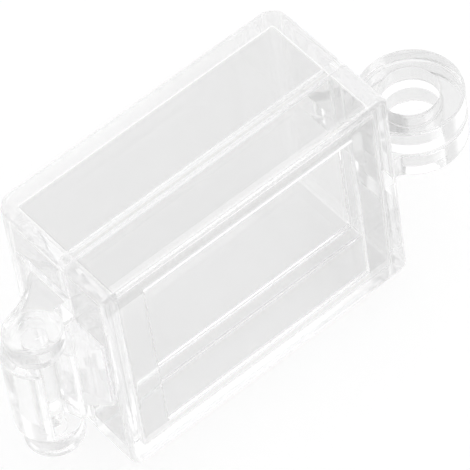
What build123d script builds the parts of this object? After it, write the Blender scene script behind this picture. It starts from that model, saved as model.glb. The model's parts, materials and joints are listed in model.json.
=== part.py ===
from build123d import *
from math import hypot, sqrt
import os

os.makedirs("parts", exist_ok=True)

# Clear two-part guard box, millimetres: +X from the hinge to the padlock eyes, +Y from base to cover, +Z up.
# The origin is under the middle of the whole outline, on the surface that the box lies on.

# Housing, with both halves closed
length = 58.0
height = 44.6
base_depth = 9.5
cover_depth = 18.4
rim_gap = 0.1
wall = 2.7
front_plate = 1.0
corner_r = 2.0
front_edge_r = 1.0
back_corner_r = 3.5
inner_corner_r = 0.8
inner_edge_r = 0.9
rim_round = 0.25

# Window in the base, where the switch comes through
window_side_margin = 7.8
window_top_margin = 4.6
window_bottom_margin = 5.4

# Lip of the base inside the rim of the cover
lip_thickness = 1.3
lip_length = 2.1
lip_clearance = 0.15
lip_end_gap = 0.3

# Padlock eyes, one on each half
eye_r = 9.0
eye_hole_r = 5.0
eye_thickness = 5.2
eye_gap = 0.3
eye_reach = 11.1
base_eye_flare_r = 2.5
cover_eye_flare_r = 6.0
eye_round = 0.5

# Snap hinge: a spindle between two ears on the cover, and an open clip on the base
hinge_reach = 7.8
hinge_setback = 0.3
spindle_r = 2.2
spindle_clearance = 0.08
ear_r = 5.0
ear_thickness = 4.6
ear_flare_r = 10.0
ear_round = 0.8
end_mark_r = 2.2
end_mark_depth = 0.4
hinge_span = 28.2
clip_r = 6.0
clip_length = 17.3
clip_top_gap = 0.4
clip_round = 0.4
slot_width = 3.6
slot_mouth_width = 6.0
jaw_round = 0.6
web_setback = 1.8
web_step = 0.6
web_rise = 2.0
arm_root = 1.0

# Places worked out from the sizes
hinge_end = -(length + eye_reach + eye_r - hinge_reach - clip_r) / 2
eye_end = hinge_end + length
middle_x = hinge_end + length / 2
middle_z = height / 2
front = -(base_depth + rim_gap + cover_depth) / 2
base_rim = front + base_depth
cover_rim = base_rim + rim_gap
back = cover_rim + cover_depth
hinge_x = hinge_end - hinge_reach
hinge_y = base_rim - hinge_setback
hinge_top = middle_z + hinge_span / 2
hinge_bottom = middle_z - hinge_span / 2
clip_top = hinge_top - ear_thickness - clip_top_gap
clip_bottom = clip_top - clip_length
eye_x = eye_end + eye_reach
eye_y = (base_rim + cover_rim) / 2
cover_eye_bottom = middle_z + eye_gap / 2
base_eye_bottom = middle_z - eye_gap / 2 - eye_thickness


def depth_plane(y):
    """Upright plane across the box at one depth, looking from the front."""
    return Plane((middle_x, y, middle_z), x_dir=(1, 0, 0), z_dir=(0, -1, 0))


def box_outline(inset):
    """Rounded outline of the box seen from the front, drawn in by an inset."""
    with BuildSketch() as outline:
        corner = max(corner_r - inset, inner_corner_r)
        RectangleRounded(length - 2 * inset, height - 2 * inset, corner)
    return outline.sketch


def cover_plan(inset):
    """Plan of the cover, with its two back corners rounded, drawn in by an inset."""
    corner = max(back_corner_r - inset, inner_corner_r)
    with BuildSketch() as plan:
        with Locations((middle_x, (cover_rim + back - inset) / 2)):
            Rectangle(length - 2 * inset, cover_depth - inset)
        fillet(plan.vertices().sort_by(Axis.Y)[-2:], corner)
    return plan.sketch


def round_long_edges(box, rounding):
    """Round the top and bottom edges of a box, but not the ones at its open rim."""
    rim_y = box.faces().sort_by(Axis.Y)[0].center().Y
    for side in (0, -1):
        edges = box.faces().filter_by(Axis.Z).sort_by(Axis.Z)[side].edges()
        fillet(edges.filter_by(lambda edge: edge.center().Y > rim_y + rounding / 2), rounding)


def arm_outline(wall_x, centre_x, centre_y, round_r, flare_r, side, rim_y):
    """Plan of a round eye and the arm that joins it to an end wall.

    The arm is straight along the rim. Its other side is a hollow flare that touches both the
    wall and the round. side is -1 for a flare towards the front, and 1 towards the back.
    """
    out = 1 if centre_x > wall_x else -1
    flare_x = wall_x + out * flare_r
    flare_y = centre_y + side * sqrt((round_r + flare_r) ** 2 - (centre_x - flare_x) ** 2)
    share = flare_r / (round_r + flare_r)
    touch = (flare_x + (centre_x - flare_x) * share, flare_y + (centre_y - flare_y) * share)
    way_x = (touch[0] - flare_x) / flare_r - out
    way_y = (touch[1] - flare_y) / flare_r
    scale = flare_r / hypot(way_x, way_y)
    halfway = (flare_x + way_x * scale, flare_y + way_y * scale)
    with BuildSketch() as arm:
        with BuildLine():
            flare = ThreePointArc((wall_x, flare_y), halfway, touch)
            Polyline(
                flare @ 1,
                (centre_x, rim_y),
                (wall_x - out * arm_root, rim_y),
                (wall_x - out * arm_root, flare_y),
                flare @ 0,
            )
        make_face()
        with Locations((centre_x, centre_y)):
            Circle(round_r)
    return arm.sketch


def round_rims(solid, centre_x, centre_y, radius, fillet_r):
    """Round the circular edges of one radius that are centred on a vertical axis."""
    rims = solid.edges().filter_by(GeomType.CIRCLE).filter_by(
        lambda edge: abs(edge.radius - radius) < 1e-6
        and hypot(edge.arc_center.X - centre_x, edge.arc_center.Y - centre_y) < 1e-6
    )
    fillet(rims, fillet_r)


# Space inside the base, with its end corners rounded for the flow of the plastic
with BuildPart() as base_space:
    with BuildSketch(depth_plane(front + front_plate)):
        add(box_outline(wall))
    extrude(amount=-(base_depth - front_plate + lip_length))
    fillet(base_space.faces().sort_by(Axis.Y)[0].edges().filter_by(Axis.Z), inner_edge_r)

# Base: a shallow frame with the window, the inner lip, the lower eye and the hinge clip
with BuildPart() as base_frame:
    with BuildSketch(depth_plane(front)):
        add(box_outline(0))
    extrude(amount=-base_depth)
    fillet(base_frame.faces().sort_by(Axis.Y)[0].edges(), front_edge_r)
    fillet(base_frame.faces().sort_by(Axis.Y)[-1].edges(), rim_round)
    with BuildSketch(depth_plane(base_rim)):
        add(box_outline(wall - lip_thickness))
    extrude(amount=-lip_length)
    fillet(base_frame.faces().sort_by(Axis.Y)[-1].edges(), rim_round)
    add(base_space.part, mode=Mode.SUBTRACT)
    with BuildSketch(depth_plane(front)):
        with Locations((0, (window_bottom_margin - window_top_margin) / 2)):
            Rectangle(
                length - 2 * window_side_margin,
                height - window_top_margin - window_bottom_margin,
            )
    extrude(amount=-front_plate, mode=Mode.SUBTRACT)

# Lower padlock eye
with BuildPart() as base_eye:
    with BuildSketch(Plane.XY.offset(base_eye_bottom)):
        add(arm_outline(eye_end, eye_x, eye_y, eye_r, base_eye_flare_r, -1, base_rim))
        with Locations((eye_x, eye_y)):
            Circle(eye_hole_r, mode=Mode.SUBTRACT)
    extrude(amount=eye_thickness)
    round_rims(base_eye, eye_x, eye_y, eye_r, eye_round)

# Hinge clip, open at the front so that it snaps over the spindle, and the web that carries it
with BuildPart() as clip:
    with BuildSketch(Plane.XY.offset(clip_bottom)) as clip_outline:
        with Locations((hinge_x, hinge_y)):
            Circle(clip_r)
            Circle(spindle_r + spindle_clearance, mode=Mode.SUBTRACT)
        with BuildLine():
            Polyline(
                (hinge_x - slot_width / 2, hinge_y),
                (hinge_x + slot_width / 2, hinge_y),
                (hinge_x + slot_width / 2, hinge_y - spindle_r),
                (hinge_x + slot_mouth_width / 2, hinge_y - clip_r),
                (hinge_x - slot_mouth_width / 2, hinge_y - clip_r),
                (hinge_x - slot_width / 2, hinge_y - spindle_r),
                close=True,
            )
        make_face(mode=Mode.SUBTRACT)
        fillet(clip_outline.vertices().sort_by(Axis.Y)[:2], jaw_round)
    extrude(amount=clip_length)
    round_rims(clip, hinge_x, hinge_y, clip_r, clip_round)
    with BuildSketch(Plane.XY.offset(clip_bottom + web_rise)):
        with BuildLine():
            Polyline(
                (hinge_x, hinge_y),
                (hinge_x, base_rim),
                (hinge_end + arm_root, base_rim),
                (hinge_end + arm_root, front + web_setback),
                (hinge_end - web_step, front + web_setback),
                close=True,
            )
        make_face()
        with Locations((hinge_x, hinge_y)):
            Circle((spindle_r + clip_r) / 2, mode=Mode.SUBTRACT)
    extrude(amount=clip_length - web_rise - clip_round)

with BuildPart() as base:
    add(base_frame.part)
    add(base_eye.part)
    add(clip.part)

base.part.label = "base_frame"
export_step(base.part, "parts/base_frame.step")

# Space inside the cover, with the step that takes the lip
with BuildPart() as cover_space:
    with BuildSketch(Plane.XY.offset(wall)):
        add(cover_plan(wall))
    extrude(amount=height - 2 * wall)
    round_long_edges(cover_space, inner_corner_r)
    with BuildSketch(depth_plane(cover_rim)):
        add(box_outline(wall - lip_thickness - lip_clearance))
    extrude(amount=-(lip_length + lip_end_gap - rim_gap))

# Upper padlock eye
with BuildPart() as cover_eye:
    with BuildSketch(Plane.XY.offset(cover_eye_bottom)):
        add(arm_outline(eye_end, eye_x, eye_y, eye_r, cover_eye_flare_r, 1, cover_rim))
        with Locations((eye_x, eye_y)):
            Circle(eye_hole_r, mode=Mode.SUBTRACT)
    extrude(amount=eye_thickness)
    round_rims(cover_eye, eye_x, eye_y, eye_r, eye_round)

# Hinge ears, with the spindle between them
with BuildPart() as ears:
    for ear_bottom in (hinge_bottom, hinge_top - ear_thickness):
        with BuildSketch(Plane.XY.offset(ear_bottom)):
            add(arm_outline(hinge_end, hinge_x, hinge_y, ear_r, ear_flare_r, 1, cover_rim))
        extrude(amount=ear_thickness)
    round_rims(ears, hinge_x, hinge_y, ear_r, ear_round)
    with BuildSketch(Plane.XY.offset(hinge_bottom + ear_thickness)):
        with Locations((hinge_x, hinge_y)):
            Circle(spindle_r)
    extrude(amount=hinge_span - 2 * ear_thickness)
    for mark_bottom in (hinge_bottom, hinge_top - end_mark_depth):
        with BuildSketch(Plane.XY.offset(mark_bottom)):
            with Locations((hinge_x, hinge_y)):
                Circle(end_mark_r)
        extrude(amount=end_mark_depth, mode=Mode.SUBTRACT)

# Cover: the deep half that closes over the switch
with BuildPart() as cover:
    with BuildSketch():
        add(cover_plan(0))
    extrude(amount=height)
    round_long_edges(cover, corner_r)
    fillet(cover.faces().sort_by(Axis.Y)[0].edges(), rim_round)
    add(cover_eye.part)
    add(ears.part)
    add(cover_space.part, mode=Mode.SUBTRACT)

cover.part.label = "cover_shell"
export_step(cover.part, "parts/cover_shell.step")
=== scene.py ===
import json
from math import pi, radians

import bpy
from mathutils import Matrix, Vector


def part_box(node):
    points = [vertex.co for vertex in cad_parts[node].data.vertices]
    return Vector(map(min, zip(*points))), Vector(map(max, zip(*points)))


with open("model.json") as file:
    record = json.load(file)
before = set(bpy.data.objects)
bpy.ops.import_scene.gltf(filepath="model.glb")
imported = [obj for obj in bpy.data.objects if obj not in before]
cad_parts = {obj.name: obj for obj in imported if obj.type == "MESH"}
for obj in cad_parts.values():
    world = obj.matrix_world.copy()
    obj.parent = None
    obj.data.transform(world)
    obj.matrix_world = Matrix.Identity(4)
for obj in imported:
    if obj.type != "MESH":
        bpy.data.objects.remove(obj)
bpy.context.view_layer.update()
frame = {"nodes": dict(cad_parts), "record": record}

# Base half: the shallow frame with the window, the lip, the lower padlock eye and the hinge clip.
# It is one injection moulding in clear plastic, polished on the walls and duller on the clip,
# and its clip is pushed over the spindle of the cover. Both halves are moulded alike.
mounts = {mount["name"]: mount for mount in frame["record"]["mounts"]}
wall_face = mounts["wall_face"]
eye_bore = mounts["padlock_bore"]
base_low, base_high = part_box("base_frame")
cover_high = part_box("cover_shell")[1]
housing_length = 0.058
housing_depth = cover_high[1] - base_low[1]
housing_height = base_high[2] - base_low[2]
housing_middle = (
    wall_face["pos_m"][0],
    (cover_high[1] + base_low[1]) / 2,
    (base_high[2] + base_low[2]) / 2,
)
wall = 0.0027
front_clear = 0.0025
window_side_margin = 0.0078
window_top_margin = 0.0046


class Wiring:
    """A node tree that is built up from left to right."""

    def __init__(self, tree):
        self.tree = tree

    def node(self, kind, **settings):
        made = self.tree.nodes.new("ShaderNode" + kind)
        for name, value in settings.items():
            setattr(made, name, value)
        return made

    def feed(self, socket, value):
        """Give a socket a number, a colour or another node's output."""
        if isinstance(value, bpy.types.NodeSocket):
            self.tree.links.new(value, socket)
        else:
            socket.default_value = value

    def feed_all(self, node, **values):
        """Feed the sockets of a node by their names, with _ for each space."""
        for name, value in values.items():
            self.feed(node.inputs[name.replace("_", " ")], value)

    def number(self, operation, *values):
        made = self.node("Math", operation=operation)
        for socket, value in zip(made.inputs, values):
            self.feed(socket, value)
        return made.outputs[0]

    def vector(self, operation, *vectors):
        made = self.node("VectorMath", operation=operation)
        for socket, vector in zip(made.inputs, vectors):
            self.feed(socket, vector)
        return made

    def split(self, vector):
        made = self.node("SeparateXYZ")
        self.feed(made.inputs[0], vector)
        return made.outputs["X"], made.outputs["Y"], made.outputs["Z"]

    def blend(self, share, first, second):
        """Mix two colours: they go in at a Mix node's sockets 6 and 7, and come out at 2."""
        made = self.node("Mix", data_type="RGBA")
        self.feed(made.inputs["Factor"], share)
        self.feed(made.inputs[6], first)
        self.feed(made.inputs[7], second)
        return made.outputs[2]

    def rise(self, value, start, end, low=0.0, high=1.0):
        """Go softly from low to high while a value goes from start to end."""
        made = self.node("MapRange", interpolation_type="SMOOTHSTEP")
        self.feed_all(made, Value=value, From_Min=start, From_Max=end, To_Min=low, To_Max=high)
        return made.outputs["Result"]

    def clouds(self, place, scale, detail):
        made = self.node("TexNoise")
        self.feed_all(made, Vector=place, Scale=scale, Detail=detail)
        return made.outputs["Fac"]


def mould_marks_and_painted_shade():
    """Painted shade and moulding on clear plastic: a grey tint on the faces of the walls, flow
    ripple and haze.

    The grey tint is painted shade, for the shaded table that shows through the plastic. Most of it
    lies on the inner faces. Light that runs on inside the edge of a wall doesn't cross them, so the
    edges of the housing stay bright. The hinge and the rims have no painted shade.
    """
    group = bpy.data.node_groups.new("mould_marks_and_painted_shade", "ShaderNodeTree")
    wanted = {
        "NodeSocketVector": ("Place", "Middle", "Half Size", "Bore Middle"),
        "NodeSocketFloat": (
            "Wall", "Front Clear", "Window Right", "Window Top", "Bore Radius",
            "Wall Haze", "Clip Haze",
        ),
        "NodeSocketColor": ("Painted Shade", "Clear", "Hinge", "Eye Painted Shade", "Bore Painted Shade"),
    }
    for kind, names in wanted.items():
        for name in names:
            group.interface.new_socket(name, in_out="INPUT", socket_type=kind)
    group.interface.new_socket("Colour", in_out="OUTPUT", socket_type="NodeSocketColor")
    group.interface.new_socket("Haze", in_out="OUTPUT", socket_type="NodeSocketFloat")
    group.interface.new_socket("Ripple", in_out="OUTPUT", socket_type="NodeSocketFloat")
    net = Wiring(group)
    given = group.nodes.new("NodeGroupInput").outputs
    made = group.nodes.new("NodeGroupOutput").inputs

    # How deep a point lies under the nearest end, broad and long faces of the housing
    near = 0.0003
    from_middle = net.vector("SUBTRACT", given["Place"], given["Middle"]).outputs[0]
    x, y, z = net.split(from_middle)
    half_x, half_y = net.split(given["Half Size"])[:2]
    off_middle = net.vector("ABSOLUTE", from_middle).outputs[0]
    depths = net.vector("SUBTRACT", given["Half Size"], off_middle).outputs[0]
    under_end, under_broad, under_long = net.split(depths)
    under_side = net.number("MINIMUM", under_end, under_long)

    # Painted shade, a grey tint for the shaded table seen through the walls: on the inner faces,
    # strongest on the floor, with a trace on the outer faces
    wall_painted_shade = 0.55
    more_shade_on_floor = 0.25
    outer_painted_shade = 0.17
    from_back = net.number("SUBTRACT", half_y, y)
    from_front = net.number("ADD", half_y, y)
    inner_depth = net.number("SUBTRACT", given["Wall"], near)
    floor_depth = net.number("ADD", given["Wall"], near)
    on_inside = net.number("GREATER_THAN", net.number("MINIMUM", under_side, from_back), inner_depth)
    past_front = net.number("GREATER_THAN", from_front, given["Front Clear"])
    low_down = net.number("LESS_THAN", z, 0.0)
    on_floor = net.number("MULTIPLY", net.number("LESS_THAN", under_long, floor_depth), low_down)
    strength = net.number("ADD", wall_painted_shade, net.number("MULTIPLY", on_floor, more_shade_on_floor))
    walls = net.number("MULTIPLY", net.number("MULTIPLY", on_inside, past_front), strength)
    on_outside = net.number("COMPARE", net.number("MINIMUM", under_side, under_broad), 0.0, near)
    faces = net.number("MAXIMUM", walls, net.number("MULTIPLY", on_outside, outer_painted_shade))

    # More painted shade in the borders of the front plate above and right of the window
    beside_painted_shade = 0.7
    on_front = net.number("LESS_THAN", y, net.number("SUBTRACT", near, half_y))
    above = net.number("GREATER_THAN", z, given["Window Top"])
    right = net.number("GREATER_THAN", x, given["Window Right"])
    off_end = net.number("LESS_THAN", x, net.number("SUBTRACT", half_x, given["Wall"]))
    beside = net.number("MULTIPLY", net.number("MULTIPLY", right, off_end), beside_painted_shade)
    border = net.number("MULTIPLY", net.number("MAXIMUM", above, beside), on_front)

    # The flow leaves slight random streaks in the painted shade
    streak_scale = 70.0
    streak_detail = 2.0
    streak_edges = (0.35, 0.65)
    streak_range = (0.94, 1.0)
    flow = net.clouds(given["Place"], streak_scale, streak_detail)
    streaks = net.rise(flow, *streak_edges, *streak_range)
    painted_shade = net.number("MULTIPLY", net.number("MAXIMUM", faces, border), streaks)

    # Painted shade: the thick eyes are tinted a little greyer than the hinge and the housing, most
    # of all in their bore, for the shaded table seen through them
    level = (1, 1, 0)
    in_hinge = net.number("LESS_THAN", x, net.number("SUBTRACT", -near, half_x))
    clear = net.blend(in_hinge, given["Clear"], given["Hinge"])
    in_eye = net.number("GREATER_THAN", x, net.number("ADD", half_x, near))
    clear = net.blend(in_eye, clear, given["Eye Painted Shade"])
    from_bore = net.vector("SUBTRACT", given["Place"], given["Bore Middle"]).outputs[0]
    from_bore = net.vector("MULTIPLY", from_bore, level).outputs[0]
    off_axis = net.vector("LENGTH", from_bore).outputs["Value"]
    in_bore = net.number("LESS_THAN", off_axis, net.number("ADD", given["Bore Radius"], near))
    clear = net.blend(in_bore, clear, given["Bore Painted Shade"])
    net.feed(made["Colour"], net.blend(painted_shade, clear, given["Painted Shade"]))

    # Haze from the mould's grain on the hinge, and polish elsewhere
    clip_fade = 0.0025
    grain_scale = 300.0
    grain_detail = 2.0
    grain_edges = (0.3, 0.7)
    grain_range = (0.88, 1.12)
    hinge_end = net.number("SUBTRACT", 0.0, half_x)
    hinge_start = net.number("SUBTRACT", hinge_end, clip_fade)
    toward_clip = net.rise(x, hinge_start, hinge_end, 1.0, 0.0)
    more_haze = net.number("MULTIPLY", toward_clip, given["Clip Haze"])
    grain = net.clouds(given["Place"], grain_scale, grain_detail)
    wear = net.rise(grain, *grain_edges, *grain_range)
    haze = net.number("ADD", given["Wall Haze"], more_haze)
    net.feed(made["Haze"], net.number("MULTIPLY", haze, wear))

    # Gentle ripple of the flow
    ripple_scale = 160.0
    ripple_detail = 1.0
    net.feed(made["Ripple"], net.clouds(given["Place"], ripple_scale, ripple_detail))
    return group


def clear_moulding(name, shade_and_mould_effect, values):
    """Clear plastic that bends light as thick plastic does, and lets soft light pass in shadow."""
    bending = 1.5
    let_past = 0.96
    ripple_height = 0.00001
    plastic = bpy.data.materials.new(name)
    plastic.use_nodes = True
    net = Wiring(plastic.node_tree)
    shader = plastic.node_tree.nodes["Principled BSDF"]
    effect = net.node("Group", node_tree=shade_and_mould_effect)
    net.feed(effect.inputs["Place"], net.node("TexCoord").outputs["Object"])
    for socket, value in values.items():
        effect.inputs[socket].default_value = value
    bump = net.node("Bump")
    bump.inputs["Distance"].default_value = ripple_height
    net.feed(bump.inputs["Height"], effect.outputs["Ripple"])
    net.feed(shader.inputs["Base Color"], effect.outputs["Colour"])
    net.feed(shader.inputs["Roughness"], effect.outputs["Haze"])
    net.feed(shader.inputs["Normal"], bump.outputs["Normal"])
    shader.inputs["IOR"].default_value = bending
    shader.inputs["Transmission Weight"].default_value = 1.0
    passing = net.node("BsdfTransparent")
    passing.inputs["Color"].default_value = (let_past, let_past, let_past, 1)
    rays = net.node("LightPath").outputs
    soft_light = net.number("MAXIMUM", rays["Is Shadow Ray"], rays["Is Diffuse Ray"])
    choice = net.node("MixShader")
    net.feed(choice.inputs[0], soft_light)
    net.feed(choice.inputs[1], shader.outputs[0])
    net.feed(choice.inputs[2], passing.outputs[0])
    net.feed(plastic.node_tree.nodes["Material Output"].inputs["Surface"], choice.outputs[0])
    return plastic


def finish_node(node, plastic):
    for slot in frame["nodes"][node].material_slots:
        slot.material = plastic


shade_and_mould_effect = mould_marks_and_painted_shade()
housing_values = {
    "Middle": housing_middle,
    "Half Size": (housing_length / 2, housing_depth / 2, housing_height / 2),
    "Wall": wall,
    "Front Clear": front_clear,
    "Window Right": housing_length / 2 - window_side_margin,
    "Window Top": housing_height / 2 - window_top_margin,
    "Bore Middle": eye_bore["pos_m"],
    "Bore Radius": eye_bore["dims"]["r_mm"] / 1000,
    # The greys for the walls, the eyes and the bore are painted shade, for the shaded table seen
    # through the plastic; the clear and hinge tones are the plastic's own
    "Painted Shade": (0.70, 0.70, 0.70, 1),
    "Clear": (0.99, 0.99, 0.99, 1),
    "Hinge": (0.985, 0.985, 0.985, 1),
    "Eye Painted Shade": (0.91, 0.91, 0.91, 1),
    "Bore Painted Shade": (0.79, 0.79, 0.79, 1),
    "Wall Haze": 0.06,
}
base_haze = {"Clip Haze": 0.06}
base_plastic = clear_moulding("clear_base", shade_and_mould_effect, housing_values | base_haze)
finish_node("base_frame", base_plastic)

# Cover half: the deep shell with the upper padlock eye and the two hinge ears with their spindle.
# It is a second moulding in the same plastic, a little duller on its ears, where the mould's grain
# stays. It turns on the base by the spindle and closes over the lip.
cover_haze = {"Clip Haze": 0.08}
cover_plastic = clear_moulding("clear_cover", shade_and_mould_effect, housing_values | cover_haze)
finish_node("cover_shell", cover_plastic)

# Studio table: a broad sheet of smooth white laminate that the guard lies on.
# It is far larger than the picture shows, and glows just enough to look white in the picture and
# in the plastic, while it keeps the guard's soft shadow.
table_half = 3.0
table_drop = 0.0001
table_white = 0.6
table_glow = 0.38
table_signs = ((-1, -1), (1, -1), (1, 1), (-1, 1))
table_corners = [(table_half * x, table_half * y, -table_drop) for x, y in table_signs]
table_mesh = bpy.data.meshes.new("table")
table_mesh.from_pydata(table_corners, [], [range(4)])
table = bpy.data.objects.new("table", table_mesh)
bpy.context.collection.objects.link(table)
laminate = bpy.data.materials.new("white_laminate")
laminate.use_nodes = True
laminate.node_tree.nodes.clear()
net = Wiring(laminate.node_tree)
lit = net.node("BsdfDiffuse")
lit.inputs["Color"].default_value = (table_white, table_white, table_white, 1)
glow = net.node("Emission")
glow.inputs["Strength"].default_value = table_glow
both = net.node("AddShader")
net.feed(both.inputs[0], lit.outputs[0])
net.feed(both.inputs[1], glow.outputs[0])
rays = net.node("LightPath").outputs
through = net.number("MAXIMUM", rays["Is Glossy Ray"], rays["Is Transmission Ray"])
choice = net.node("MixShader")
net.feed(choice.inputs[0], net.number("MAXIMUM", rays["Is Camera Ray"], through))
net.feed(choice.inputs[1], lit.outputs[0])
net.feed(choice.inputs[2], both.outputs[0])
net.feed(net.node("OutputMaterial").inputs["Surface"], choice.outputs[0])
table_mesh.materials.append(laminate)

# Studio light: a white cloth tent all round, darker overhead, lit from outside by a lamp behind it.
# The lamp's soft patch on the cloth lies high behind the guard, and shines through its edges and
# eyes. One soft box high in front of the padlock eyes puts a sheen on the front edges.
tent_side = 1.0
tent_top = 0.87
tent_shade = (0.4, 0.7)
patch_way = (0.32, 0.52, 0.79)
patch_shine = 0.43
patch_edges = (0.78, 0.98)
tent = bpy.data.worlds.new("tent")
tent.use_nodes = True
bpy.context.scene.world = tent
net = Wiring(tent.node_tree)
way = net.node("TexCoord").outputs["Generated"]
up = net.split(way)[2]
cloth = net.rise(up, *tent_shade, tent_side, tent_top)
toward_patch = net.vector("DOT_PRODUCT", way, patch_way).outputs["Value"]
patch = net.rise(toward_patch, *patch_edges, 0.0, patch_shine)
background = tent.node_tree.nodes["Background"].inputs
net.feed(background["Strength"], net.number("ADD", cloth, patch))
background["Color"].default_value = (1, 1, 1, 1)
box_size = (0.4, 0.75)
box_glow = 1.2
box_data = bpy.data.lights.new("soft_box", "AREA")
box_data.shape = "RECTANGLE"
box_data.size, box_data.size_y = box_size
box_data.energy = box_glow * pi * box_size[0] * box_size[1]
soft_box = bpy.data.objects.new("soft_box", box_data)
soft_box.location = (0.33, -0.52, 0.79)
soft_box.rotation_euler = (radians(38), 0, radians(32))
bpy.context.collection.objects.link(soft_box)

# Camera: a long lens, high in front of the hinge end, turned so that the guard lies across the
# picture as in the photograph. Its place was fitted to the corners of the box.
camera_data = bpy.data.cameras.new("camera")
camera_data.lens = 381.3
camera_data.sensor_width = 36.0
camera_data.clip_start = 0.05
camera_data.clip_end = 10.0
camera = bpy.data.objects.new("camera", camera_data)
camera.location = (-0.2594, -0.4165, 0.6490)
camera.rotation_euler = (radians(37.503), radians(5.845), radians(-39.719))
bpy.context.collection.objects.link(camera)

# Picture: plain colours, and enough bounces for light that runs on inside the thick clear walls.
# The light in the shadows passes several clear walls too, and has a count of its own.
bounces = 64
shadow_bounces = 24
scene = bpy.context.scene
scene.camera = camera
scene.view_settings.view_transform = "Standard"
scene.cycles.max_bounces = bounces
scene.cycles.transmission_bounces = bounces
scene.cycles.glossy_bounces = bounces
scene.cycles.transparent_max_bounces = shadow_bounces
